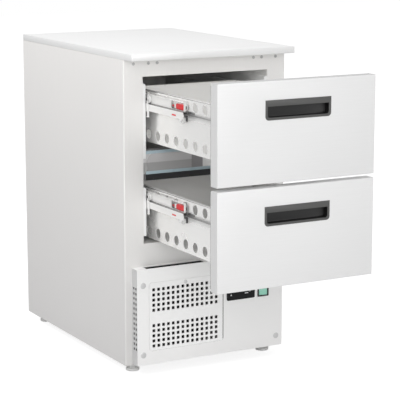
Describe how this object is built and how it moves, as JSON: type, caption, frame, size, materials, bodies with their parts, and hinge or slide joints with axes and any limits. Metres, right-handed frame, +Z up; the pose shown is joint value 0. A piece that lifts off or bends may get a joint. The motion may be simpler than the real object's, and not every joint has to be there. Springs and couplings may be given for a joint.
{
  "type": "undercounter drawer refrigerator",
  "caption": "Free-standing undercounter refrigerator with two telescopic drawers shown open over a perforated machine cover, under a flat worktop.",
  "frame": {"origin": "on the floor, under the middle of the whole outline as stored, with both drawers run out", "axes": "+X to the right as seen from the front, +Y from the drawer fronts to the back panel, +Z up"},
  "size_m": [0.48, 1.1, 0.845],
  "materials": {
    "stainless": "satin",
    "stainless_inner": "satin",
    "foam": "cellular",
    "blue_strip": "satin",
    "grey_plug": "matte",
    "rail_steel": "satin",
    "cover_steel": "satin",
    "screw_steel": "polished",
    "control_plastic": "satin",
    "switch_black": "satin",
    "switch_green": "gloss",
    "compressor_black": "gloss",
    "coil_dark": "satin",
    "motor_grey": "satin",
    "fan_black": "matte",
    "coil_aluminium": "satin",
    "copper": "satin",
    "gland_black": "matte",
    "foot_plastic": "satin",
    "roller_nylon": "satin",
    "catch_red": "gloss",
    "front_steel": "satin",
    "front_inner": "satin",
    "gasket_rubber": "matte",
    "handle_plastic": "satin",
    "drawer_steel": "satin"
  },
  "bodies": {
    "cabinet": {"worktop": "stainless", "left_side_panel": "stainless", "right_side_panel": "stainless", "back_panel": "stainless", "base_tray": "stainless", "front_frame": "stainless", "inner_liner": "stainless_inner", "insulation": "foam", "mid_rail": "stainless_inner", "mid_rail_strips": "blue_strip", "slide_frames": "stainless_inner", "hole_plugs": "grey_plug", "fixed_rails": "rail_steel", "compressor_cover": "cover_steel", "access_grille": "cover_steel", "cover_screws": "screw_steel", "controller": "control_plastic", "switch_housing": "switch_black", "compressor": "compressor_black", "condenser": "coil_dark", "condenser_fan_motor": "motor_grey", "evaporator": "coil_aluminium", "evaporator_housing": "stainless_inner", "refrigerant_pipes": "copper", "cable_gland": "gland_black"},
    "switch_rocker": {"switch_rocker": "switch_green"},
    "condenser_fan": {"condenser_fan": "fan_black"},
    "evaporator_fan": {"evaporator_fan": "fan_black"},
    "front_left_foot": {"front_left_foot": "foot_plastic"},
    "front_right_foot": {"front_right_foot": "foot_plastic"},
    "rear_left_foot": {"rear_left_foot": "foot_plastic"},
    "rear_right_foot": {"rear_right_foot": "foot_plastic"},
    "upper_drawer": {"upper_front_skin": "front_steel", "upper_front_core": "front_inner", "upper_gasket": "gasket_rubber", "upper_handle": "handle_plastic", "upper_drawer_sides": "drawer_steel", "upper_drawer_tray": "drawer_steel", "upper_drawer_rails": "rail_steel"},
    "upper_middle_rails": {"upper_middle_rails": "rail_steel"},
    "upper_fixed_rollers": {"upper_fixed_rollers": "roller_nylon"},
    "upper_middle_rear_rollers": {"upper_middle_rear_rollers": "roller_nylon"},
    "upper_middle_front_rollers": {"upper_middle_front_rollers": "roller_nylon"},
    "upper_drawer_rollers": {"upper_drawer_rollers": "roller_nylon"},
    "upper_left_catch": {"upper_left_catch": "catch_red"},
    "upper_right_catch": {"upper_right_catch": "catch_red"},
    "lower_drawer": {"lower_front_skin": "front_steel", "lower_front_core": "front_inner", "lower_gasket": "gasket_rubber", "lower_handle": "handle_plastic", "lower_drawer_sides": "drawer_steel", "lower_drawer_tray": "drawer_steel", "lower_drawer_rails": "rail_steel"},
    "lower_middle_rails": {"lower_middle_rails": "rail_steel"},
    "lower_fixed_rollers": {"lower_fixed_rollers": "roller_nylon"},
    "lower_middle_rear_rollers": {"lower_middle_rear_rollers": "roller_nylon"},
    "lower_middle_front_rollers": {"lower_middle_front_rollers": "roller_nylon"},
    "lower_drawer_rollers": {"lower_drawer_rollers": "roller_nylon"},
    "lower_left_catch": {"lower_left_catch": "catch_red"},
    "lower_right_catch": {"lower_right_catch": "catch_red"}
  },
  "joints": [
    {"name": "switch_rocker_tilt", "type": "hinge", "parent": "cabinet", "child": "switch_rocker", "pos_m": [0.16, -0.125, 0.1845], "axis": [0, 0, 1], "range_deg": [0, 16]},
    {"name": "condenser_fan_spin", "type": "hinge", "parent": "cabinet", "child": "condenser_fan", "pos_m": [-0.1, -0.025, 0.15], "axis": [0, 1, 0], "continuous": true},
    {"name": "evaporator_fan_spin", "type": "hinge", "parent": "cabinet", "child": "evaporator_fan", "pos_m": [0, 0.442, 0.677], "axis": [0, 1, 0], "continuous": true},
    {"name": "front_left_foot_screw", "type": "hinge", "parent": "cabinet", "child": "front_left_foot", "pos_m": [-0.2, -0.06, 0.02], "axis": [0, 0, 1], "continuous": true},
    {"name": "front_right_foot_screw", "type": "hinge", "parent": "cabinet", "child": "front_right_foot", "pos_m": [0.2, -0.06, 0.02], "axis": [0, 0, 1], "continuous": true},
    {"name": "rear_left_foot_screw", "type": "hinge", "parent": "cabinet", "child": "rear_left_foot", "pos_m": [-0.2, 0.51, 0.02], "axis": [0, 0, 1], "continuous": true},
    {"name": "rear_right_foot_screw", "type": "hinge", "parent": "cabinet", "child": "rear_right_foot", "pos_m": [0.2, 0.51, 0.02], "axis": [0, 0, 1], "continuous": true},
    {"name": "upper_drawer_slide", "type": "slide", "parent": "cabinet", "child": "upper_drawer", "axis": [0, -1, 0], "range_m": [-0.4, 0]},
    {"name": "upper_middle_slide", "type": "slide", "parent": "cabinet", "child": "upper_middle_rails", "axis": [0, -1, 0], "range_m": [-0.2, 0]},
    {"name": "upper_fixed_rollers_spin", "type": "hinge", "parent": "cabinet", "child": "upper_fixed_rollers", "pos_m": [0, -0.1049, 0.72485], "axis": [1, 0, 0], "continuous": true},
    {"name": "upper_middle_rear_rollers_spin", "type": "hinge", "parent": "upper_middle_rails", "child": "upper_middle_rear_rollers", "pos_m": [0, 0.192, 0.72485], "axis": [1, 0, 0], "continuous": true},
    {"name": "upper_middle_front_rollers_spin", "type": "hinge", "parent": "upper_middle_rails", "child": "upper_middle_front_rollers", "pos_m": [0, -0.282, 0.6952], "axis": [1, 0, 0], "continuous": true},
    {"name": "upper_drawer_rollers_spin", "type": "hinge", "parent": "upper_drawer", "child": "upper_drawer_rollers", "pos_m": [0, 0, 0.704], "axis": [1, 0, 0], "continuous": true},
    {"name": "upper_left_catch_lift", "type": "hinge", "parent": "upper_middle_rails", "child": "upper_left_catch", "pos_m": [-0.1634, -0.289, 0.7225], "axis": [1, 0, 0], "range_deg": [0, 7], "stiffness_Nm_per_rad": 0.02, "springref_deg": -11.46},
    {"name": "upper_right_catch_lift", "type": "hinge", "parent": "upper_middle_rails", "child": "upper_right_catch", "pos_m": [0.1634, -0.289, 0.7225], "axis": [1, 0, 0], "range_deg": [0, 7], "stiffness_Nm_per_rad": 0.02, "springref_deg": -11.46},
    {"name": "lower_drawer_slide", "type": "slide", "parent": "cabinet", "child": "lower_drawer", "axis": [0, -1, 0], "range_m": [-0.4, 0]},
    {"name": "lower_middle_slide", "type": "slide", "parent": "cabinet", "child": "lower_middle_rails", "axis": [0, -1, 0], "range_m": [-0.2, 0]},
    {"name": "lower_fixed_rollers_spin", "type": "hinge", "parent": "cabinet", "child": "lower_fixed_rollers", "pos_m": [0, -0.1049, 0.47185], "axis": [1, 0, 0], "continuous": true},
    {"name": "lower_middle_rear_rollers_spin", "type": "hinge", "parent": "lower_middle_rails", "child": "lower_middle_rear_rollers", "pos_m": [0, 0.192, 0.47185], "axis": [1, 0, 0], "continuous": true},
    {"name": "lower_middle_front_rollers_spin", "type": "hinge", "parent": "lower_middle_rails", "child": "lower_middle_front_rollers", "pos_m": [0, -0.282, 0.4422], "axis": [1, 0, 0], "continuous": true},
    {"name": "lower_drawer_rollers_spin", "type": "hinge", "parent": "lower_drawer", "child": "lower_drawer_rollers", "pos_m": [0, 0, 0.451], "axis": [1, 0, 0], "continuous": true},
    {"name": "lower_left_catch_lift", "type": "hinge", "parent": "lower_middle_rails", "child": "lower_left_catch", "pos_m": [-0.1634, -0.289, 0.4695], "axis": [1, 0, 0], "range_deg": [0, 7], "stiffness_Nm_per_rad": 0.02, "springref_deg": -11.46},
    {"name": "lower_right_catch_lift", "type": "hinge", "parent": "lower_middle_rails", "child": "lower_right_catch", "pos_m": [0.1634, -0.289, 0.4695], "axis": [1, 0, 0], "range_deg": [0, 7], "stiffness_Nm_per_rad": 0.02, "springref_deg": -11.46}
  ],
  "couplings": [
    {"joint": "upper_middle_slide", "follows": "upper_drawer_slide", "ratio": 0.5},
    {"joint": "upper_fixed_rollers_spin", "follows": "upper_drawer_slide", "rad_per_m": 45.249},
    {"joint": "upper_middle_rear_rollers_spin", "follows": "upper_drawer_slide", "rad_per_m": -55.556},
    {"joint": "upper_middle_front_rollers_spin", "follows": "upper_drawer_slide", "rad_per_m": 41.667},
    {"joint": "upper_drawer_rollers_spin", "follows": "upper_drawer_slide", "rad_per_m": -62.5},
    {"joint": "lower_middle_slide", "follows": "lower_drawer_slide", "ratio": 0.5},
    {"joint": "lower_fixed_rollers_spin", "follows": "lower_drawer_slide", "rad_per_m": 45.249},
    {"joint": "lower_middle_rear_rollers_spin", "follows": "lower_drawer_slide", "rad_per_m": -55.556},
    {"joint": "lower_middle_front_rollers_spin", "follows": "lower_drawer_slide", "rad_per_m": 41.667},
    {"joint": "lower_drawer_rollers_spin", "follows": "lower_drawer_slide", "rad_per_m": -62.5}
  ]
}
